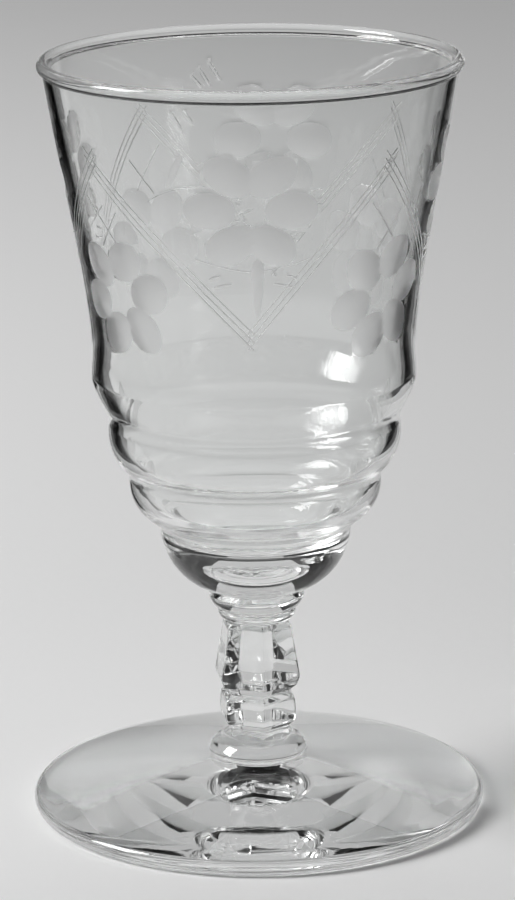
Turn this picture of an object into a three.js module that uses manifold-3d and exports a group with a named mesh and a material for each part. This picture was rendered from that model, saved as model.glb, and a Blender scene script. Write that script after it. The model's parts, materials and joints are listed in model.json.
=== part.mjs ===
// A stemmed juice glass: a stepped bowl on two wafers, a six-sided stem, a domed button and a round foot.
// Each gather of glass is its own solid, set on the one below it at a flat seat where the two are fused hot.
// Millimetres, +Z up. The origin is on the table, at the centre of the foot.
import * as THREE from "three";
import { mergeVertices } from "three/addons/utils/BufferGeometryUtils.js";
import Module from "manifold-3d";

const wasm = await Module();
wasm.setup();

// Heights of the pieces, from the table up
const footHeight = 8.25;
const buttonHeight = 3.75;
const stemHeight = 19.9;
const lowerWaferHeight = 2.05;
const upperWaferHeight = 3.3;
const bowlHeight = 89.75;

// Seats: the round faces where one piece is fused to the next
const footSeatRadius = 8;
const buttonSeatRadius = 5.75;
const stemSeatRadius = 4.95;
const lowerWaferSeatRadius = 6.15;
const upperWaferSeatRadius = 7.2;

// Foot
const footRadius = 38;
const footEdgeThickness = 3;
const footHollowRadius = 32;
const footHollowDepth = 0.6;
const footSwell = 0.2; // how far the top stands above a straight cone from the edge to the seat

// Button between foot and stem
const buttonRadius = 8.45;
const buttonEdgeHeight = 0.95;
const buttonSwell = 0.42; // how far the dome stands out from a straight cone

// Stem: distances from the axis to its six arrises, and heights above its seat
const stemSides = 6;
const stemTurn = THREE.MathUtils.degToRad(8.5);
const stemBaseRadius = 5.59;
const stemFlareHeight = 0.9;
const stemFlareTopRadius = 4.4;
const stemNeckHeight = 1.5;
const ringLowerHeight = 2.5;
const ringLowerRadius = 6.75;
const ringCrestHeight = 4.5;
const ringCrestRadius = 7;
const ringUpperHeight = 6.6;
const ringUpperRadius = 6.75;
const grooveRadius = 5.6;
const grooveHeight = 7.6;
const knopHeight = 10.4;
const knopRadius = 7.75;
const knopBevelHeight = 8.9;
const knopBevelRadius = 7.2;
const stemShoulderDrop = 0.7; // from the top of the stem down to its shoulder
const stemShoulderRadius = 6.2;
const stemTopRadius = 5.65;

// Wafers between stem and bowl: each is widest near its top and tucks under to its seat
const lowerWaferRadius = 6.55;
const lowerWaferCrestDrop = 0.3; // from the top of the wafer down to its crest
const upperWaferRadius = 8;
const upperWaferCrestDrop = 0.75;
const waferSwell = 0.42;

// Bowl: each step swells out between two grooves, then a belly, a waist and a flared wall with a beaded rim
const bowlSteps = [
  { grooveRadius: 16, grooveHeight: 12, swell: 2.55 },
  { grooveRadius: 20.8, grooveHeight: 20.7, swell: 1.85 },
  { grooveRadius: 23.9, grooveHeight: 30.3, swell: 1.55 },
];
const bellyRadius = 26.8;
const bellyHeight = 37.3;
const bellyBend = 1.9; // height over which the straight underside of the belly turns upright
const waistRadius = 26.6;
const waistHeight = 42;
const waistBend = 7.9; // how gently the waist turns into the flare
const flareRadius = 33.5;
const flareDrop = 4.05; // from the rim down to the end of the flare, below the bead
const flareBend = 14;
const flareLean = 0.16; // how much the wall widens for each millimetre that it rises
const rimRadius = 34.65;
const rimBeadRadius = 1.05;
const rimBeadStart = THREE.MathUtils.degToRad(-77); // where the wall runs into the bead, from level

// Wall and floor of the bowl
const flareWall = 1.45;
const waistWall = 1.9;
const lowWall = 2.2; // at the lowest groove
const wallThinning = 10; // height above that groove over which the wall thins to the waist's
const bowlFloor = 4.9;
const bowlFloorReach = 12; // how far the floor runs out before it turns up

// Faceting
const bowlSegments = 64;
const footSegments = 72;
const smallSegments = 48;
const curvePoints = 4;

const clearGlass = () =>
  new THREE.MeshStandardMaterial({
    color: 0xeef1f1,
    roughness: 0.03,
    metalness: 0,
    transparent: true,
    opacity: 0.35,
  });

// Adds a curve from the outline's end to a point. It bows away from the straight line between them by swell,
// to the right of the way it runs: outwards on the way up, and inwards on the way down.
function swellTo(outline, radius, height, swell) {
  const start = outline.currentPoint.clone();
  const end = new THREE.Vector2(radius, height);
  const along = end.clone().sub(start).normalize();
  const outward = new THREE.Vector2(along.y, -along.x);
  const pull = start.add(end).multiplyScalar(0.5).addScaledVector(outward, 2 * swell);
  return outline.quadraticCurveTo(pull.x, pull.y, radius, height);
}

// Revolves an outline, drawn from axis to axis, about Z. Six segments give a six-sided solid.
function revolve(outline, segments, turn = 0) {
  const lathe = new THREE.LatheGeometry(outline.getPoints(curvePoints), segments, turn);
  return lathe.rotateX(Math.PI / 2);
}

// The closed solid of a revolved geometry, for joining to another.
function solidOf(geometry) {
  const bare = geometry.clone().deleteAttribute("normal").deleteAttribute("uv");
  const merged = mergeVertices(bare);
  const corners = merged.index.array;
  const triVerts = [];
  for (let i = 0; i < corners.length; i += 3) {
    const [a, b, c] = corners.subarray(i, i + 3);
    if (a !== b && b !== c && c !== a) triVerts.push(a, b, c);
  }
  return new wasm.Manifold(
    new wasm.Mesh({
      numProp: 3,
      vertProperties: merged.attributes.position.array,
      triVerts: new Uint32Array(triVerts),
    }),
  );
}

function geometryOf(solid) {
  const mesh = solid.getMesh();
  return new THREE.BufferGeometry()
    .setAttribute("position", new THREE.BufferAttribute(mesh.vertProperties, 3))
    .setIndex(new THREE.BufferAttribute(mesh.triVerts, 1))
    .toNonIndexed();
}

// Round foot: a shallow hollow below, a full round edge, and a top that rises to the button's seat.
function footGeometry() {
  const edge = footEdgeThickness / 2;
  const edgeCentre = footRadius - edge;
  const outline = new THREE.Path();
  outline.moveTo(0, footHollowDepth);
  outline.quadraticCurveTo(footHollowRadius / 2, footHollowDepth, footHollowRadius, 0);
  outline.lineTo(edgeCentre, 0);
  outline.absarc(edgeCentre, edge, edge, -Math.PI / 2, Math.PI / 2, false);
  swellTo(outline, footSeatRadius, footHeight, footSwell);
  outline.lineTo(0, footHeight);
  return revolve(outline, footSegments);
}

// Domed button: an undercut edge below, then a dome up to the stem's seat.
function buttonGeometry() {
  const outline = new THREE.Path();
  outline.moveTo(0, 0);
  outline.lineTo(footSeatRadius, 0);
  outline.lineTo(buttonRadius, buttonEdgeHeight);
  swellTo(outline, buttonSeatRadius, buttonHeight, buttonSwell);
  outline.lineTo(0, buttonHeight);
  return revolve(outline, smallSegments);
}

// Six-sided stem: a straight base in a round flare, a ring, a groove and a tapered knop with a bevelled edge.
function stemGeometry() {
  const faceted = new THREE.Path();
  faceted.moveTo(0, 0);
  faceted.lineTo(stemBaseRadius, 0);
  faceted.lineTo(stemBaseRadius, stemNeckHeight);
  faceted.lineTo(ringLowerRadius, ringLowerHeight);
  faceted.lineTo(ringCrestRadius, ringCrestHeight);
  faceted.lineTo(ringUpperRadius, ringUpperHeight);
  faceted.lineTo(grooveRadius, grooveHeight);
  faceted.lineTo(knopBevelRadius, knopBevelHeight);
  faceted.lineTo(knopRadius, knopHeight);
  faceted.lineTo(stemShoulderRadius, stemHeight - stemShoulderDrop);
  faceted.lineTo(stemTopRadius, stemHeight);
  faceted.lineTo(0, stemHeight);
  const flare = new THREE.Path();
  flare.moveTo(0, 0);
  flare.lineTo(buttonSeatRadius, 0);
  flare.lineTo(stemFlareTopRadius, stemFlareHeight);
  flare.lineTo(0, stemFlareHeight);
  const body = solidOf(revolve(faceted, stemSides, stemTurn));
  return geometryOf(body.add(solidOf(revolve(flare, smallSegments))));
}

// Wafer: swells from the seat below to its crest, then turns in to the seat above.
function waferGeometry(seatBelow, crestRadius, crestDrop, seatAbove, height) {
  const outline = new THREE.Path();
  outline.moveTo(0, 0);
  outline.lineTo(seatBelow, 0);
  swellTo(outline, crestRadius, height - crestDrop, waferSwell);
  outline.lineTo(seatAbove, height);
  outline.lineTo(0, height);
  return revolve(outline, smallSegments);
}

// Draws the inside of a curve of the bowl's wall, downwards: the wall is blown to an even thickness.
function insideOf(outline, curve) {
  const lowGroove = bowlSteps[0].grooveHeight;
  for (let i = curvePoints; i >= 0; i -= 1) {
    const place = curve.getPoint(i / curvePoints);
    const along = curve.getTangent(i / curvePoints);
    const rise = THREE.MathUtils.clamp((place.y - lowGroove) / wallThinning, 0, 1);
    const wall = THREE.MathUtils.lerp(lowWall, waistWall, rise);
    outline.lineTo(place.x - along.y * wall, place.y + along.x * wall);
  }
}

// Stepped bowl: up the outside over the steps, round the rim bead, and down the inside to the thick floor.
function bowlGeometry() {
  const flareHeight = bowlHeight - flareDrop;
  const outline = new THREE.Path();
  outline.moveTo(0, 0);
  outline.lineTo(upperWaferSeatRadius, 0);
  for (const step of bowlSteps) swellTo(outline, step.grooveRadius, step.grooveHeight, step.swell);
  outline.quadraticCurveTo(bellyRadius, bellyHeight - bellyBend, bellyRadius, bellyHeight);
  const turnHeight = (bellyHeight + waistHeight) / 2;
  outline.bezierCurveTo(bellyRadius, turnHeight, waistRadius, turnHeight, waistRadius, waistHeight);
  const wallCurves = outline.curves.slice(2); // from the lowest groove up to the waist
  outline.bezierCurveTo(
    waistRadius,
    waistHeight + waistBend,
    flareRadius - flareLean * flareBend,
    flareHeight - flareBend,
    flareRadius,
    flareHeight,
  );
  const beadHeight = bowlHeight - rimBeadRadius;
  outline.absarc(rimRadius - rimBeadRadius, beadHeight, rimBeadRadius, rimBeadStart, Math.PI, false);
  const innerWaist = waistRadius - waistWall;
  const innerFlare = flareRadius - flareWall;
  outline.lineTo(innerFlare, flareHeight);
  outline.bezierCurveTo(
    innerFlare - flareLean * flareBend,
    flareHeight - flareBend,
    innerWaist,
    waistHeight + waistBend,
    innerWaist,
    waistHeight,
  );
  for (const curve of wallCurves.toReversed()) insideOf(outline, curve);
  outline.quadraticCurveTo(bowlFloorReach, bowlFloor, 0, bowlFloor);
  return revolve(outline, bowlSegments);
}

// Stacks the pieces from the table up, each on the seat of the one below.
const glass = new THREE.Group();
let seatHeight = 0;
function stack(name, geometry, height) {
  const piece = new THREE.Mesh(geometry, clearGlass());
  piece.name = name;
  piece.position.z = seatHeight;
  seatHeight += height;
  glass.add(piece);
}

stack("foot", footGeometry(), footHeight);
stack("foot_button", buttonGeometry(), buttonHeight);
stack("stem", stemGeometry(), stemHeight);
stack(
  "lower_wafer",
  waferGeometry(
    stemSeatRadius,
    lowerWaferRadius,
    lowerWaferCrestDrop,
    lowerWaferSeatRadius,
    lowerWaferHeight,
  ),
  lowerWaferHeight,
);
stack(
  "upper_wafer",
  waferGeometry(
    lowerWaferSeatRadius,
    upperWaferRadius,
    upperWaferCrestDrop,
    upperWaferSeatRadius,
    upperWaferHeight,
  ),
  upperWaferHeight,
);
stack("bowl", bowlGeometry(), bowlHeight);

export default glass;
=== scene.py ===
import json
import math

import bpy
from mathutils import Matrix, Vector

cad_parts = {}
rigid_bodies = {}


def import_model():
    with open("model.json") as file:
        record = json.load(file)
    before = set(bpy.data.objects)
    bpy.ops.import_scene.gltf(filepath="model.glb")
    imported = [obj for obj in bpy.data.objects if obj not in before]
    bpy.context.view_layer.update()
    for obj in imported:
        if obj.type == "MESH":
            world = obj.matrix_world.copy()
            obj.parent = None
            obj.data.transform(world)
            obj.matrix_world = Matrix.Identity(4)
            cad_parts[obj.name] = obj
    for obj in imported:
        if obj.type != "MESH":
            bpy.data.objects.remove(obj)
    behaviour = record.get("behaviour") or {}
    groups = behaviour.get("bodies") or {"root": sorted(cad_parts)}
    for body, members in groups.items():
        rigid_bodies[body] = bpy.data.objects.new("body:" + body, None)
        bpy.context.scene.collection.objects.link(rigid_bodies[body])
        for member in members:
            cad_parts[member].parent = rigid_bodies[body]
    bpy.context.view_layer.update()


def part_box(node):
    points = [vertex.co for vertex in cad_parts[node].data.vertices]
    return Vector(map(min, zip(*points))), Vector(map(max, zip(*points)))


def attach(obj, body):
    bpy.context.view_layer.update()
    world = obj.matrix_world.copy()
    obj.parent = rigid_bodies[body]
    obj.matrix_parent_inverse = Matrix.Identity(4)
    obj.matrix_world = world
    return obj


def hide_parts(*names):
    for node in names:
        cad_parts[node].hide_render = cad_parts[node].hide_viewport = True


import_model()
print("frame loaded")

mm = 0.001
fullTurn = 2 * math.pi
smoothAngle = math.radians(38)


# Outlines are drawn as strokes of points, radius and height, in millimetres
def bent(start, pull, end, count):
    points = []
    for i in range(count + 1):
        t = i / count
        points.append(start * (1 - t) ** 2 + pull * 2 * t * (1 - t) + end * t * t)
    return points


def swept(start, pullOut, pullIn, end, count):
    points = []
    for i in range(count + 1):
        t = i / count
        near = start * (1 - t) ** 3 + pullOut * 3 * t * (1 - t) ** 2
        points.append(near + pullIn * 3 * t * t * (1 - t) + end * t ** 3)
    return points


def bowed(start, end, swell, count):
    along = (end - start).normalized()
    pull = (start + end) / 2 + Vector((along.y, -along.x)) * 2 * swell
    return bent(start, pull, end, count)


def straight(start, end, count=1):
    return [start.lerp(end, i / count) for i in range(count + 1)]


def rounded(centre, radius, startAngle, endAngle, count):
    points = []
    for i in range(count + 1):
        angle = startAngle + (endAngle - startAngle) * i / count
        points.append(centre + Vector((math.cos(angle), math.sin(angle))) * radius)
    return points


def trimmed(points, reach):
    points = list(points)
    left = reach
    while len(points) > 2 and (points[1] - points[0]).length <= left:
        left -= (points[1] - points[0]).length
        points.pop(0)
    points[0] = points[0].lerp(points[1], left / (points[1] - points[0]).length)
    return points


# Joins strokes end to end, and softens each corner over its reach
def joined(strokes, reaches, count=8):
    outline = list(strokes[0])
    for stroke, reach in zip(strokes[1:], reaches):
        if reach:
            corner = stroke[0]
            before = trimmed(outline[::-1], reach)[::-1]
            after = trimmed(stroke, reach)
            outline = before + bent(before[-1], corner, after[0], count)[1:-1] + after
        else:
            outline = outline + stroke[1:]
    return outline


# Merges the doubles of what is selected, and turns its faces outwards
def closeMesh():
    bpy.ops.object.mode_set(mode="EDIT")
    bpy.ops.mesh.select_all(action="SELECT")
    bpy.ops.mesh.remove_doubles(threshold=0.001 * mm)
    bpy.ops.mesh.normals_make_consistent(inside=False)
    bpy.ops.object.mode_set(mode="OBJECT")


# Draws an outline as a path, makes it a mesh, and turns it about the axis
def turnPiece(name, outline, baseHeight, steps):
    bpy.ops.object.select_all(action="DESELECT")
    bpy.ops.curve.primitive_nurbs_path_add()
    piece = bpy.context.object
    piece.name = name
    piece.data.splines.clear()
    path = piece.data.splines.new("POLY")
    path.points.add(len(outline) - 1)
    for point, place in zip(path.points, outline):
        point.co = (place.x * mm, 0, place.y * mm + baseHeight, 1)
    bpy.ops.object.convert(target="MESH")
    piece.data.name = name
    lathe = piece.modifiers.new("lathe", "SCREW")
    lathe.axis = "Z"
    lathe.angle = fullTurn
    lathe.steps = steps
    lathe.render_steps = steps
    bpy.ops.object.modifier_apply(modifier="lathe")
    closeMesh()
    return piece


# Gives the fused seats of a turned piece, flat discs at its ends, their own finish
def finishSeats(piece, glass, seats):
    piece.data.materials.clear()
    piece.data.materials.append(glass)
    piece.data.materials.append(fusedSeat)
    slack = 0.02 * mm
    levelEnough = 0.99
    for face in piece.data.polygons:
        centre = face.center
        for height, radius in seats:
            flat = abs(face.normal.z) > levelEnough and abs(centre.z - height) < slack
            if flat and math.hypot(centre.x, centre.y) < radius * mm:
                face.material_index = 1
    bpy.ops.object.select_all(action="DESELECT")
    piece.select_set(True)
    bpy.context.view_layer.objects.active = piece
    bpy.ops.object.shade_smooth_by_angle(angle=smoothAngle)


def settle(piece, node):
    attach(piece, "root")
    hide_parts(node)


# Materials
glassLook = {
    "colour": (0.985, 0.99, 0.988, 1),
    "ior": 1.52,
    "hazeColour": (0.965, 0.975, 0.97, 1),
    "roughness": 0.004,
}


def newMaterial(name):
    material = bpy.data.materials.new(name)
    material.use_nodes = True
    nodes = material.node_tree.nodes
    return material, nodes, material.node_tree.links, nodes["Principled BSDF"]


def noiseNode(nodes, links, vector, scale, detail):
    noise = nodes.new("ShaderNodeTexNoise")
    noise.inputs["Scale"].default_value = scale
    noise.inputs["Detail"].default_value = detail
    links.new(vector, noise.inputs["Vector"])
    return noise.outputs["Fac"]


def rangeNode(nodes, links, value, low, high, start=0.0, end=1.0):
    mapRange = nodes.new("ShaderNodeMapRange")
    mapRange.inputs["From Min"].default_value = start
    mapRange.inputs["From Max"].default_value = end
    mapRange.inputs["To Min"].default_value = low
    mapRange.inputs["To Max"].default_value = high
    links.new(value, mapRange.inputs["Value"])
    return mapRange.outputs["Result"]


def objectVector(nodes, links, scale):
    place = nodes.new("ShaderNodeTexCoord")
    mapping = nodes.new("ShaderNodeMapping")
    mapping.inputs["Scale"].default_value = scale
    links.new(place.outputs["Object"], mapping.inputs["Vector"])
    return mapping.outputs["Vector"]


def bumpNode(nodes, links, height, distance, below=None):
    bump = nodes.new("ShaderNodeBump")
    bump.inputs["Strength"].default_value = 1
    bump.inputs["Distance"].default_value = distance
    links.new(height, bump.inputs["Height"])
    if below:
        links.new(below, bump.inputs["Normal"])
    return bump.outputs["Normal"]


def splitNode(nodes, links, vector):
    split = nodes.new("ShaderNodeSeparateXYZ")
    links.new(vector, split.inputs["Vector"])
    return split.outputs


def mathNode(nodes, links, operation, first, second):
    result = nodes.new("ShaderNodeMath")
    result.operation = operation
    links.new(first, result.inputs[0])
    links.new(second, result.inputs[1])
    return result.outputs["Value"]


# Runs by distance from the axis and by height only, so that a noise on it draws rings
def turnedVector(nodes, links, acrossScale, heightScale):
    scaled = objectVector(nodes, links, (acrossScale, acrossScale, heightScale))
    place = splitNode(nodes, links, scaled)
    level = nodes.new("ShaderNodeCombineXYZ")
    links.new(place["X"], level.inputs["X"])
    links.new(place["Y"], level.inputs["Y"])
    reach = nodes.new("ShaderNodeVectorMath")
    reach.operation = "LENGTH"
    links.new(level.outputs["Vector"], reach.inputs[0])
    turned = nodes.new("ShaderNodeCombineXYZ")
    links.new(reach.outputs["Value"], turned.inputs["X"])
    links.new(place["Z"], turned.inputs["Z"])
    return turned.outputs["Vector"]


# Fire-polished glass: faint ripples from the mould, fine lines from turning and a little haze
def clearGlass(name, look):
    material, nodes, links, shader = newMaterial(name)
    shader.inputs["Transmission Weight"].default_value = 1
    shader.inputs["IOR"].default_value = glassLook["ior"]
    haze = noiseNode(nodes, links, objectVector(nodes, links, (1, 1, 1)), look["hazeScale"], 4)
    roughness = rangeNode(nodes, links, haze, 0, glassLook["roughness"] * 2, 0.3, 0.7)
    links.new(roughness, shader.inputs["Roughness"])
    tint = nodes.new("ShaderNodeMix")
    tint.data_type = "RGBA"
    tint.inputs["A"].default_value = glassLook["colour"]
    tint.inputs["B"].default_value = glassLook["hazeColour"]
    links.new(haze, tint.inputs["Factor"])
    links.new(tint.outputs["Result"], shader.inputs["Base Color"])
    ripple = noiseNode(nodes, links, objectVector(nodes, links, look["rippleScale"]), 1, 2)
    rippleBump = bumpNode(nodes, links, ripple, look["rippleHeight"])
    lines = noiseNode(nodes, links, turnedVector(nodes, links, *look["lineScale"]), 1, 3)
    lineBump = bumpNode(nodes, links, lines, look["lineHeight"], rippleBump)
    links.new(lineBump, shader.inputs["Normal"])
    return material


bowlGlass = clearGlass("bowl glass", {
    "rippleScale": (60, 60, 220),
    "rippleHeight": 0.02 * mm,
    "lineScale": (300, 1500),
    "lineHeight": 0.0002 * mm,
    "hazeScale": 90,
})
stemGlass = clearGlass("stem glass", {
    "rippleScale": (260, 260, 160),
    "rippleHeight": 0.015 * mm,
    "lineScale": (200, 900),
    "lineHeight": 0.0005 * mm,
    "hazeScale": 140,
})
footGlass = clearGlass("foot glass", {
    "rippleScale": (150, 150, 60),
    "rippleHeight": 0.012 * mm,
    "lineScale": (1400, 300),
    "lineHeight": 0.0015 * mm,
    "hazeScale": 120,
})

fusedSeat, seatNodes, seatLinks, seatShader = newMaterial("fused seat")
seatShader.inputs["Alpha"].default_value = 0
seatShader.inputs["IOR"].default_value = 1

cutLook = {"colour": (0.93, 0.93, 0.93, 1), "roughness": (0.24, 0.48), "grainScale": 5200}


# Unpolished cutting: a fine grain that scatters light unevenly
def unpolishedCut(name, look):
    material, nodes, links, shader = newMaterial(name)
    shader.inputs["Base Color"].default_value = look["colour"]
    shader.inputs["Transmission Weight"].default_value = 1
    shader.inputs["IOR"].default_value = glassLook["ior"]
    grain = noiseNode(nodes, links, objectVector(nodes, links, (1, 1, 1)), look["grainScale"], 3)
    links.new(rangeNode(nodes, links, grain, *look["roughness"]), shader.inputs["Roughness"])
    return material


greyCut = unpolishedCut("grey cut", cutLook)
print("materials ready")

# Foot
footMake = {
    "radius": 38,
    "edge": 1.5,
    "hollowRadius": 32,
    "hollowDepth": 0.6,
    "swell": 0.2,
    "restSoften": 0.8,
    "edgeSoften": 0.9,
    "seat": 8,
    "height": 8.25,
    "steps": 256,
}


def makeFoot():
    make = footMake
    base, top = (corner.z for corner in map(Vector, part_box("foot")))
    edgeCentre = make["radius"] - make["edge"]
    hollowTop = Vector((0, make["hollowDepth"]))
    rest = Vector((make["hollowRadius"], 0))
    edgeLow = Vector((edgeCentre, 0))
    edgeHigh = Vector((edgeCentre, 2 * make["edge"]))
    seat = Vector((make["seat"], make["height"]))
    quarter = math.pi / 2
    strokes = [
        bent(hollowTop, Vector((make["hollowRadius"] / 2, make["hollowDepth"])), rest, 24),
        straight(rest, edgeLow, 4),
        rounded(Vector((edgeCentre, make["edge"])), make["edge"], -quarter, quarter, 24),
        bowed(edgeHigh, seat, make["swell"], 40),
        straight(seat, Vector((0, make["height"])), 2),
    ]
    outline = joined(strokes, (make["restSoften"], 0, make["edgeSoften"], 0))
    piece = turnPiece("glass_foot", outline, base, make["steps"])
    finishSeats(piece, footGlass, [(top, make["seat"])])
    settle(piece, "foot")
    print("foot made", len(piece.data.polygons))


# Button between foot and stem
buttonMake = {
    "seatBelow": 8,
    "radius": 8.45,
    "edgeHeight": 0.95,
    "swell": 0.42,
    "soften": 0.45,
    "seatAbove": 5.75,
    "height": 3.75,
    "steps": 128,
}


def makeButton():
    make = buttonMake
    base, top = (corner.z for corner in map(Vector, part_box("foot_button")))
    below = Vector((make["seatBelow"], 0))
    edge = Vector((make["radius"], make["edgeHeight"]))
    above = Vector((make["seatAbove"], make["height"]))
    strokes = [
        straight(Vector((0, 0)), below, 2),
        straight(below, edge, 3),
        bowed(edge, above, make["swell"], 16),
        straight(above, Vector((0, make["height"])), 2),
    ]
    outline = joined(strokes, (0, make["soften"], 0))
    piece = turnPiece("glass_button", outline, base, make["steps"])
    finishSeats(piece, stemGlass, [(base, make["seatBelow"]), (top, make["seatAbove"])])
    settle(piece, "foot_button")
    print("button made", len(piece.data.polygons))


# Six-sided stem: distances from the axis to the arrises, at heights above its seat
stemMake = {
    "sides": 6,
    "turn": math.radians(8.5),
    "flareSeat": 5.75,
    "flareTop": 4.4,
    "flareHeight": 0.9,
    "baseRadius": 5.59,
    "sunk": 0.02,
    "neckHeight": 1.5,
    "ringLower": (6.75, 2.5),
    "ringCrest": (7, 4.5),
    "ringUpper": (6.75, 6.6),
    "groove": (5.6, 7.6),
    "knopBevel": (7.2, 8.9),
    "knop": (7.75, 10.4),
    "shoulder": (6.2, 19.2),
    "topRadius": 5.65,
    "height": 19.9,
    "seat": 4.95,
    "soften": 0.3,
    "crestSoften": 0.8,
    "knopSoften": 0.5,
    "arrisPower": 44,
    "steps": 192,
}


# How far a many-sided section of corner radius 1 reaches at an angle, its arrises slightly rounded
def sectionReach(angle, sides, power):
    flat = math.cos(math.pi / sides)
    total = 0
    for side in range(sides):
        facing = math.cos(angle - fullTurn * (side + 0.5) / sides)
        if facing > 0:
            total += facing ** power
    return flat * total ** (-1 / power)


def makeStem():
    make = stemMake
    base, top = (corner.z for corner in map(Vector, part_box("stem")))
    soft = make["soften"]
    corners = [
        Vector((make["baseRadius"], make["sunk"])),
        Vector((make["baseRadius"], make["neckHeight"])),
        Vector(make["ringLower"]),
        Vector(make["ringCrest"]),
        Vector(make["ringUpper"]),
        Vector(make["groove"]),
        Vector(make["knopBevel"]),
        Vector(make["knop"]),
        Vector(make["shoulder"]),
        Vector((make["topRadius"], make["height"])),
    ]
    strokes = [straight(Vector((0, make["sunk"])), corners[0], 3)]
    for lower, upper in zip(corners, corners[1:]):
        strokes.append(straight(lower, upper, max(4, round((upper - lower).length * 2))))
    strokes.append(straight(corners[-1], Vector((0, make["height"])), 3))
    reaches = (0, soft, soft, make["crestSoften"], soft, soft, soft, make["knopSoften"], soft, 0)
    outline = joined(strokes, reaches)
    piece = turnPiece("glass_stem", outline, base, make["steps"])
    # Presses the six flats into the turned blank
    for vertex in piece.data.vertices:
        angle = math.atan2(vertex.co.x, -vertex.co.y) - make["turn"]
        reach = sectionReach(angle, make["sides"], make["arrisPower"])
        vertex.co.x *= reach
        vertex.co.y *= reach
    # Joins the round flare at its foot, which meets the flats on a scalloped line
    flare = [
        Vector((0, 0)),
        Vector((make["flareSeat"], 0)),
        Vector((make["flareTop"], make["flareHeight"])),
        Vector((0, make["flareHeight"])),
    ]
    flareStrokes = [straight(start, end, 6) for start, end in zip(flare, flare[1:])]
    flareBlank = turnPiece("flare", joined(flareStrokes, (0, 0)), base, make["steps"])
    join = piece.modifiers.new("join", "BOOLEAN")
    join.operation = "UNION"
    join.solver = "MANIFOLD"
    join.object = flareBlank
    bpy.ops.object.select_all(action="DESELECT")
    piece.select_set(True)
    bpy.context.view_layer.objects.active = piece
    bpy.ops.object.modifier_apply(modifier="join")
    bpy.data.objects.remove(flareBlank)
    finishSeats(piece, stemGlass, [(base, make["flareSeat"]), (top, make["seat"])])
    settle(piece, "stem")
    print("stem made", len(piece.data.polygons))


# Wafers between stem and bowl
waferMake = {
    "lower_wafer": {
        "seatBelow": 4.95,
        "radius": 6.55,
        "crest": 1.75,
        "seatAbove": 6.15,
        "height": 2.05,
    },
    "upper_wafer": {
        "seatBelow": 6.15,
        "radius": 8,
        "crest": 2.55,
        "seatAbove": 7.2,
        "height": 3.3,
    },
    "swell": 0.42,
    "soften": 0.25,
    "steps": 128,
}


def makeWafer(node):
    make = waferMake[node]
    base, top = (corner.z for corner in map(Vector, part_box(node)))
    below = Vector((make["seatBelow"], 0))
    crest = Vector((make["radius"], make["crest"]))
    above = Vector((make["seatAbove"], make["height"]))
    strokes = [
        straight(Vector((0, 0)), below, 2),
        bowed(below, crest, waferMake["swell"], 14),
        straight(crest, above, 4),
        straight(above, Vector((0, make["height"])), 2),
    ]
    outline = joined(strokes, (0, waferMake["soften"], 0))
    piece = turnPiece("glass_" + node, outline, base, waferMake["steps"])
    finishSeats(piece, stemGlass, [(base, make["seatBelow"]), (top, make["seatAbove"])])
    settle(piece, node)
    print(node, "made", len(piece.data.polygons))


# Bowl: three steps, a belly, a waist and a flared wall with a beaded rim
bowlMake = {
    "seat": 7.2,
    "steps": ((16, 12, 2.55), (20.8, 20.7, 1.85), (23.9, 30.3, 1.55)),
    "stepSoften": 1.3,
    "belly": (26.8, 37.3),
    "bellyBend": 1.9,
    "waist": (26.6, 42),
    "waistBend": 7.9,
    "flare": (33.5, 85.7),
    "flareBend": 14,
    "flareLean": 0.16,
    "rimRadius": 34.65,
    "bead": 1.05,
    "beadStart": math.radians(-77),
    "beadSoften": 0.3,
    "lipSoften": 0.35,
    "innerSoften": 0.8,
    "height": 89.74,
    "flareWall": 1.45,
    "waistWall": 1.9,
    "lowWall": 2.2,
    "thickening": (12, 22),
    "floor": 4.9,
    "floorPull": 12,
    "floorSoften": 1.6,
    "turnSteps": 192,
}


def flareStroke(waist, flare):
    lean = Vector((-bowlMake["flareLean"] * bowlMake["flareBend"], -bowlMake["flareBend"]))
    return swept(waist, waist + Vector((0, bowlMake["waistBend"])), flare + lean, flare, 40)


# The wall is blown to an even thickness, and thickens a little towards the lowest groove
def wallAt(height):
    low, high = bowlMake["thickening"]
    share = min(1, max(0, (height - low) / (high - low)))
    return bowlMake["lowWall"] + (bowlMake["waistWall"] - bowlMake["lowWall"]) * share


def insideOf(outside, lowest):
    inside = []
    for before, here, after in zip(outside, outside[1:], outside[2:]):
        along = (after - before).normalized()
        if here.y > lowest:
            inside.append(here + Vector((-along.y, along.x)) * wallAt(here.y))
    return inside[::-1]


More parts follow.
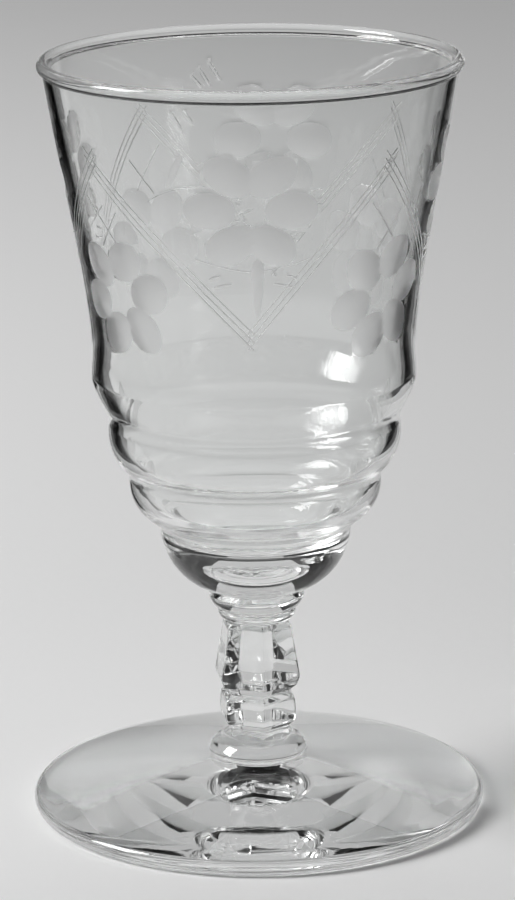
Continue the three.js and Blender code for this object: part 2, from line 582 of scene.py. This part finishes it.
def bowlOutline():
    make = bowlMake
    soft = make["stepSoften"]
    seat = Vector((make["seat"], 0))
    belly = Vector(make["belly"])
    waist = Vector(make["waist"])
    flare = Vector(make["flare"])
    strokes = []
    here = seat
    for radius, height, swell in make["steps"]:
        groove = Vector((radius, height))
        strokes.append(bowed(here, groove, swell, 16))
        here = groove
    strokes.append(bent(here, belly - Vector((0, make["bellyBend"])), belly, 14))
    middle = (belly.y + waist.y) / 2
    strokes.append(swept(belly, Vector((belly.x, middle)), Vector((waist.x, middle)), waist, 8))
    steps = joined(strokes, (soft, soft, soft, 0))
    beadCentre = Vector((make["rimRadius"] - make["bead"], make["height"] - make["bead"]))
    bead = rounded(beadCentre, make["bead"], make["beadStart"], math.pi, 32)
    innerFlare = flare - Vector((make["flareWall"], 0))
    innerWaist = waist - Vector((make["waistWall"], 0))
    inside = [innerWaist] + insideOf(steps, make["steps"][0][1])
    floor = Vector((0, make["floor"]))
    floorPull = Vector((make["floorPull"], make["floor"]))
    strokes = [
        straight(Vector((0, 0)), seat, 2),
        steps,
        flareStroke(waist, flare),
        straight(flare, bead[0], 4),
        bead,
        straight(bead[-1], innerFlare, 4),
        flareStroke(innerWaist, innerFlare)[::-1],
        inside,
        bent(inside[-1], floorPull, floor, 24),
    ]
    beadSoft = make["beadSoften"]
    insideSoft = (make["lipSoften"], make["innerSoften"], 0, make["floorSoften"])
    return joined(strokes, (0, 0, beadSoft, beadSoft, *insideSoft))


def makeBowl():
    base, top = (corner.z for corner in map(Vector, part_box("bowl")))
    piece = turnPiece("glass_bowl", bowlOutline(), base, bowlMake["turnSteps"])
    finishSeats(piece, bowlGlass, [(base, bowlMake["seat"])])
    settle(piece, "bowl")
    print("bowl made", len(piece.data.polygons))
    return piece


# Grey-cut ornament on the flared wall, by degrees round from the front and height above the table
cutMake = {
    "valleys": (-1, 86, 172, 262),
    "peaks": (43, 128, 217, 307),
    "valleyHeight": 86.4,
    "peakHeight": 113.2,
    "zigzagLines": 3,
    "zigzagSpacing": 1.35,
    "overrun": 0.05,
    "underrun": 0.02,
    "lineRadius": 0.17,
    "lineLift": 0.07,
    "petals": 6,
    "petalReach": 6.5,
    "petalDepth": 0.34,
    "petalThickness": 0.7,
    "petalTwist": 0.35,
    "valleyRosette": {"height": 107.6, "shift": 0.5, "turn": 0, "half": (4.2, 3.1)},
    "peakRosette": {"height": 91.4, "shift": 4, "turn": 12, "half": (3.75, 3.3)},
    "stalks": ((95.2, 4.8, 0.8), (97.2, 2.5, 1.05)),
    "stalkDepth": 0.14,
    "stalkShift": 2.5,
    "cross": (((-5, 107.6), (8, 99.5)), ((8, 105.8), (-1, 99.5))),
    "sprig": ((0.5, 97.6), (8, 97.9), (18, 99.6)),
    "sprigStrokes": (((10.5, 96.9), (14, 96.2), 0.25), ((6.5, 95.6), (12.5, 94.9), 0.25)),
    "sprigShift": 1,
    "stem": ((23, 99.8), (37, 100.6), (51, 97.8)),
    "leaves": (
        ((38.8, 100.1), (31.7, 105.6), 0.8),
        ((30.8, 108.9), (34.8, 113.2), 0.5),
        ((27, 110.4), (30.4, 113), 0.45),
        ((23, 116.3), (26.5, 118.7), 0.32),
        ((20.4, 116.5), (24, 120), 0.32),
        ((17, 117.3), (21, 121), 0.32),
    ),
    "leafDepth": 0.2,
}


# The place on the outer wall at an angle and height, with the directions across, up and out
def wallFrame(outerWall, degrees, height):
    angle = math.radians(degrees)
    for low, high in zip(outerWall, outerWall[1:]):
        if high.y >= height:
            break
    share = (height - low.y) / (high.y - low.y)
    radius = low.x + (high.x - low.x) * share
    out = Vector((math.sin(angle), -math.cos(angle), 0))
    across = Vector((math.cos(angle), math.sin(angle), 0))
    slope = (high - low).normalized()
    up = (out * slope.x + Vector((0, 0, slope.y))).normalized()
    place = out * radius + Vector((0, 0, height))
    return place, across, up, across.cross(up), radius


# A wheel-cut oval: its half length and half width on the wall, and its turn from level
def ovalCut(wheel, outerWall, degrees, height, half, turn, depth):
    place, across, up, out, radius = wallFrame(outerWall, degrees, height)
    thickness = cutMake["petalThickness"]
    lift = thickness - depth
    long = across * math.cos(turn) + up * math.sin(turn)
    wide = up * math.cos(turn) - across * math.sin(turn)
    size = []
    for reach, way in ((half[0], long), (half[1], wide)):
        sag = (reach * way.dot(across)) ** 2 / (2 * radius)
        size.append(reach / math.sqrt(1 - min(0.97, (lift + sag) / thickness) ** 2))
    axes = Matrix((long * size[0], wide * size[1], out * thickness)).transposed().to_4x4()
    shape = Matrix.Scale(mm, 4) @ Matrix.Translation(place + out * lift) @ axes
    oval = wheel.copy()
    oval.data = wheel.data.copy()
    oval.data.transform(shape)
    cutSet.objects.link(oval)


# A fine line cut along a run of places on the wall, each an angle and a height
def lineCut(outerWall, places):
    curve = bpy.data.curves.new("line", "CURVE")
    curve.dimensions = "3D"
    curve.bevel_depth = cutMake["lineRadius"] * mm
    curve.bevel_resolution = 1
    curve.use_fill_caps = True
    path = curve.splines.new("POLY")
    path.points.add(len(places) - 1)
    for point, (degrees, height) in zip(path.points, places):
        place, across, up, out, radius = wallFrame(outerWall, degrees, height)
        point.co = (*((place + out * cutMake["lineLift"]) * mm), 1)
    line = bpy.data.objects.new("line", curve)
    cutSet.objects.link(line)


def straightCut(outerWall, start, end, count=18):
    lineCut(outerWall, straight(Vector(start), Vector(end), count))


# A short stroke from one place to another, cut as a narrow oval
def strokeCut(wheel, outerWall, start, end, halfWidth, depth):
    middle = (Vector(start) + Vector(end)) / 2
    radius = wallFrame(outerWall, *middle)[4]
    run = Vector((math.radians(end[0] - start[0]) * radius, end[1] - start[1]))
    half = (run.length / 2, halfWidth)
    ovalCut(wheel, outerWall, middle.x, middle.y, half, math.atan2(run.y, run.x), depth)


def rosette(wheel, outerWall, middle, look):
    degrees = middle + look["shift"]
    radius = wallFrame(outerWall, degrees, look["height"])[4]
    for i in range(cutMake["petals"]):
        angle = math.radians(look["turn"] + 360 * i / cutMake["petals"])
        across = math.degrees(math.cos(angle) * cutMake["petalReach"] / radius)
        height = look["height"] + math.sin(angle) * cutMake["petalReach"]
        turn = cutMake["petalTwist"] * math.sin(2 * angle)
        place = (degrees + across, height)
        ovalCut(wheel, outerWall, *place, look["half"], turn, cutMake["petalDepth"])


# Mirrors an offset from a middle angle, and sets it there
def besides(middle, side, place):
    return Vector((middle + side * place[0], place[1]))


def drawValley(wheel, outerWall, valley, peaks, leafy):
    make = cutMake
    for peak in peaks:
        for k in range(make["zigzagLines"]):
            rise = (k - 1) * make["zigzagSpacing"]
            low = Vector((valley, make["valleyHeight"] + rise))
            high = Vector((peak, make["peakHeight"] + rise))
            run = high - low
            start = low - run * make["underrun"]
            straightCut(outerWall, start, high + run * make["overrun"], 30)
    rosette(wheel, outerWall, valley, make["valleyRosette"])
    for height, halfLength, halfWidth in make["stalks"]:
        half = (halfLength, halfWidth)
        place = (valley + make["stalkShift"], height)
        ovalCut(wheel, outerWall, *place, half, math.pi / 2, make["stalkDepth"])
    middle = valley + make["sprigShift"]
    for side in (-1, 1):
        lineCut(outerWall, bent(*[besides(middle, side, place) for place in make["sprig"]], 10))
        for start, end, width in make["sprigStrokes"]:
            ends = (besides(middle, side, start), besides(middle, side, end))
            strokeCut(wheel, outerWall, *ends, width, make["leafDepth"])
    if leafy:
        lineCut(outerWall, bent(*[besides(valley, 1, place) for place in make["stem"]], 12))
        for start, end, width in make["leaves"]:
            ends = (besides(valley, 1, start), besides(valley, 1, end))
            strokeCut(wheel, outerWall, *ends, width, make["leafDepth"])


def drawOrnament(wheel, outerWall):
    make = cutMake
    for i, valley in enumerate(make["valleys"]):
        peakLeft = make["peaks"][i - 1] - (360 if i == 0 else 0)
        drawValley(wheel, outerWall, valley, (peakLeft, make["peaks"][i]), i == 2)
    for peak in make["peaks"]:
        rosette(wheel, outerWall, peak, make["peakRosette"])
        for start, end in make["cross"]:
            straightCut(outerWall, besides(peak, 1, start), besides(peak, 1, end), 10)


def cutBowl(piece, base):
    waist = Vector(bowlMake["waist"]) + Vector((0, base / mm))
    flare = Vector(bowlMake["flare"]) + Vector((0, base / mm))
    outerWall = flareStroke(waist, flare)
    bpy.ops.object.select_all(action="DESELECT")
    bpy.ops.mesh.primitive_uv_sphere_add(segments=28, ring_count=16, radius=1)
    wheel = bpy.context.object
    wheel.data.materials.append(greyCut)
    drawOrnament(wheel, outerWall)
    bpy.data.objects.remove(wheel)
    bpy.ops.object.select_all(action="DESELECT")
    for line in cutSet.objects:
        if line.type == "CURVE":
            line.select_set(True)
            bpy.context.view_layer.objects.active = line
    bpy.ops.object.convert(target="MESH")
    closeMesh()
    for line in cutSet.objects:
        if not line.data.materials:
            line.data.materials.append(greyCut)
    piece.data.materials.append(greyCut)
    cut = piece.modifiers.new("cut", "BOOLEAN")
    cut.operation = "DIFFERENCE"
    cut.operand_type = "COLLECTION"
    cut.collection = cutSet
    cut.solver = "MANIFOLD"
    cut.material_mode = "TRANSFER"
    bpy.ops.object.select_all(action="DESELECT")
    piece.select_set(True)
    bpy.context.view_layer.objects.active = piece
    bpy.ops.object.modifier_apply(modifier="cut")
    for tool in list(cutSet.objects):
        bpy.data.objects.remove(tool)
    bpy.data.collections.remove(cutSet)
    # The polished wall meets the cuts at a crisp edge
    bpy.ops.object.shade_smooth_by_angle(angle=smoothAngle)
    cutSlot = piece.data.materials.find(greyCut.name)
    for face in piece.data.polygons:
        face.select = face.material_index == cutSlot
    bpy.ops.object.mode_set(mode="EDIT")
    bpy.ops.mesh.select_mode(type="FACE")
    bpy.ops.mesh.region_to_loop()
    bpy.ops.mesh.mark_sharp()
    bpy.ops.mesh.select_mode(type="VERT")
    bpy.ops.object.mode_set(mode="OBJECT")
    print("bowl cut", len(piece.data.polygons), [m.name for m in piece.data.materials])


cutSet = bpy.data.collections.new("cuts")
bpy.context.scene.collection.children.link(cutSet)
makeFoot()
makeButton()
makeStem()
makeWafer("lower_wafer")
makeWafer("upper_wafer")
bowl = makeBowl()
cutBowl(bowl, Vector(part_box("bowl")[0]).z)

# Stage: a pale round floor, a backdrop of light, and dark cards and glowing white cards, a painted
# light, that only the glass shows
stageLook = {
    "paper": 0.82,
    # Painted shade on the paper: its colour near the lamp, and the span over which the darkening
    # runs
    "paintedShadeByLamp": 0.25,
    "paintedShadeReach": (-0.65, -0.15),
    "paperRoughness": 0.9,
    "paperShine": 0.1,
    "floorRadius": 1.12,
    "gap": 0.03 * mm,
    "backdrop": 0.52,
    "backdropReach": math.radians(33),
    "softEdge": (0.75, 0.87),
    "overhead": 0.16,
    "overheadRise": (0.35, 0.9),
    "ceiling": 0.08,
    "ceilingRise": (0.1, 0.5),
    "bandRise": (0.38, 0.5),
    "topLight": 0.9,
    "topRise": (0.72, 0.84),
    "room": 0.012,
    "seen": 0.5,
    "board": (0.006, 0.006, 0.006, 1),
    "cards": {
        "left_dark_card": {"low": (-71, 20, 0), "high": (-70, 160, 160), "fade": (20, 48)},
        "right_dark_card": {"low": (110, 20, 0), "high": (111, 230, 170), "fade": (20, 48)},
        "back_dark_card": {"low": (-90, 150, 140), "high": (90, 151, 330)},
        # The white cards glow as a painted light that only the glass shows
        "left_glowing_card": {"low": (-47, 18, 4), "high": (-46, 130, 36), "glow": 0.5},
        "right_glowing_card": {"low": (47, 18, 4), "high": (48, 130, 36), "glow": 0.5},
    },
    "key": {
        "place": (-0.98, -0.05, 0.75),
        "target": (0, 0.35, 0),
        "width": 0.52,
        "height": 0.62,
        "power": 16.3,
    },
}


# The paper's colour is painted darker towards the lamp, a painted shade that keeps it from burning
# out there
def makeFloor():
    look = stageLook
    bpy.ops.object.select_all(action="DESELECT")
    bpy.ops.mesh.primitive_circle_add(
        vertices=96,
        radius=look["floorRadius"],
        fill_type="NGON",
        location=(0, 0, -look["gap"]),
    )
    floor = bpy.context.object
    floor.name = "paper_floor"
    paper, nodes, links, shader = newMaterial("pale paper")
    across = splitNode(nodes, links, objectVector(nodes, links, (1, 1, 1)))["X"]
    shades = (look["paintedShadeByLamp"], look["paper"])
    # Painted shade: the paper's colour goes dark near the lamp and pale further off
    shade = rangeNode(nodes, links, across, *shades, *look["paintedShadeReach"])
    links.new(shade, shader.inputs["Base Color"])
    shader.inputs["Roughness"].default_value = look["paperRoughness"]
    shader.inputs["Specular IOR Level"].default_value = look["paperShine"]
    floor.data.materials.append(paper)


# A dark card, or a white card that glows as a painted light, between two corners, in millimetres,
# that may fade in from its near edge
def makeCard(name, low, high, glow=0, fade=None):
    middle = (Vector(low) + Vector(high)) / 2 * mm
    extent = (Vector(high) - Vector(low)) * mm
    bpy.ops.object.select_all(action="DESELECT")
    bpy.ops.mesh.primitive_cube_add(size=1, location=middle)
    card = bpy.context.object
    card.name = name
    bpy.ops.transform.resize(value=extent)
    bpy.ops.object.transform_apply(location=True, rotation=True, scale=True)
    board, nodes, links, shader = newMaterial(name + " board")
    shader.inputs["Base Color"].default_value = stageLook["board"]
    shader.inputs["Emission Color"].default_value = (1, 1, 1, 1)
    # Painted light: a white card glows though it is no lamp
    shader.inputs["Emission Strength"].default_value = glow
    shader.inputs["Roughness"].default_value = 1
    shader.inputs["Specular IOR Level"].default_value = 0
    if fade:
        along = splitNode(nodes, links, objectVector(nodes, links, (1 / mm, 1 / mm, 1 / mm)))["Y"]
        links.new(rangeNode(nodes, links, along, 0, 1, *fade), shader.inputs["Alpha"])
    card.data.materials.append(board)
    card.visible_camera = False
    card.visible_diffuse = False
    card.visible_glossy = glow == 0
    card.visible_shadow = False


# The room's light by direction: bright behind the glass and straight above it, dark to the sides
def makeWorld():
    look = stageLook
    room = look["room"]
    world = bpy.data.worlds.new("studio")
    bpy.context.scene.world = world
    world.use_nodes = True
    nodes = world.node_tree.nodes
    links = world.node_tree.links
    direction = nodes.new("ShaderNodeTexCoord").outputs["Generated"]
    level = nodes.new("ShaderNodeVectorMath")
    level.operation = "MULTIPLY"
    level.inputs[1].default_value = (1, 1, 0)
    links.new(direction, level.inputs[0])
    heading = nodes.new("ShaderNodeVectorMath")
    heading.operation = "NORMALIZE"
    links.new(level.outputs["Vector"], heading.inputs[0])
    ahead = splitNode(nodes, links, heading.outputs["Vector"])["Y"]
    height = splitNode(nodes, links, direction)["Z"]
    # Light that reaches the paper, and reflections
    around = rangeNode(nodes, links, ahead, room, look["backdrop"], *look["softEdge"])
    above = rangeNode(nodes, links, height, 0, look["overhead"], *look["overheadRise"])
    outer = mathNode(nodes, links, "MAXIMUM", around, above)
    # What the glass shows through itself: a backdrop with a sharp edge, a dark band and a top light
    edge = math.cos(look["backdropReach"])
    behind = rangeNode(nodes, links, ahead, room, look["backdrop"], edge - 0.01, edge)
    ceiling = rangeNode(nodes, links, height, 0, look["ceiling"], *look["ceilingRise"])
    band = rangeNode(nodes, links, height, 1, room, *look["bandRise"])
    top = rangeNode(nodes, links, height, 0, look["topLight"], *look["topRise"])
    lit = mathNode(nodes, links, "MAXIMUM", behind, ceiling)
    banded = mathNode(nodes, links, "MINIMUM", lit, band)
    through = mathNode(nodes, links, "MAXIMUM", banded, top)
    ray = nodes.new("ShaderNodeLightPath")
    strength = nodes.new("ShaderNodeMix")
    links.new(ray.outputs["Is Transmission Ray"], strength.inputs["Factor"])
    links.new(outer, strength.inputs["A"])
    links.new(through, strength.inputs["B"])
    # What the camera sees past the floor
    shown = nodes.new("ShaderNodeMix")
    links.new(ray.outputs["Is Camera Ray"], shown.inputs["Factor"])
    links.new(strength.outputs["Result"], shown.inputs["A"])
    shown.inputs["B"].default_value = look["seen"]
    links.new(shown.outputs["Result"], nodes["Background"].inputs["Strength"])
    nodes["Background"].inputs["Color"].default_value = (1, 1, 1, 1)


def softbox(name, place, target, width, height, power):
    bpy.ops.object.light_add(type="AREA", location=place)
    lamp = bpy.context.object
    lamp.name = name
    lamp.data.shape = "RECTANGLE"
    lamp.data.size = width
    lamp.data.size_y = height
    lamp.data.energy = power
    aim = Vector(target) - Vector(place)
    lamp.rotation_euler = aim.to_track_quat("-Z", "Y").to_euler()


makeFloor()
for name, card in stageLook["cards"].items():
    makeCard(name, **card)
makeWorld()
softbox("left_softbox", **stageLook["key"])
print("stage set")

# Camera, from the measured view: a long lens a little above the glass, rolled by under a degree
viewSet = {
    "lens": 156.66,
    "place": (0, -626.9 * mm, 230.4 * mm),
    "tilt": math.radians(74.88),
    "roll": math.radians(-0.675),
    "shift": 0.0029,
}
camera = bpy.data.cameras.new("view")
camera.lens = viewSet["lens"]
camera.sensor_width = 36
camera.shift_x = viewSet["shift"]
camera.clip_start = 0.01
cameraObject = bpy.data.objects.new("view", camera)
bpy.context.scene.collection.objects.link(cameraObject)
turn = Matrix.Rotation(viewSet["tilt"], 4, "X") @ Matrix.Rotation(viewSet["roll"], 4, "Z")
cameraObject.matrix_world = Matrix.Translation(viewSet["place"]) @ turn
bpy.context.scene.camera = cameraObject

scene = bpy.context.scene
scene.view_settings.view_transform = "Standard"
# Light runs a long way inside the foot and under it, so its paths are neither cut short nor blurred
scene.cycles.max_bounces = 96
scene.cycles.transmission_bounces = 48
scene.cycles.glossy_bounces = 64
scene.cycles.transparent_max_bounces = 48
scene.cycles.blur_glossy = 0
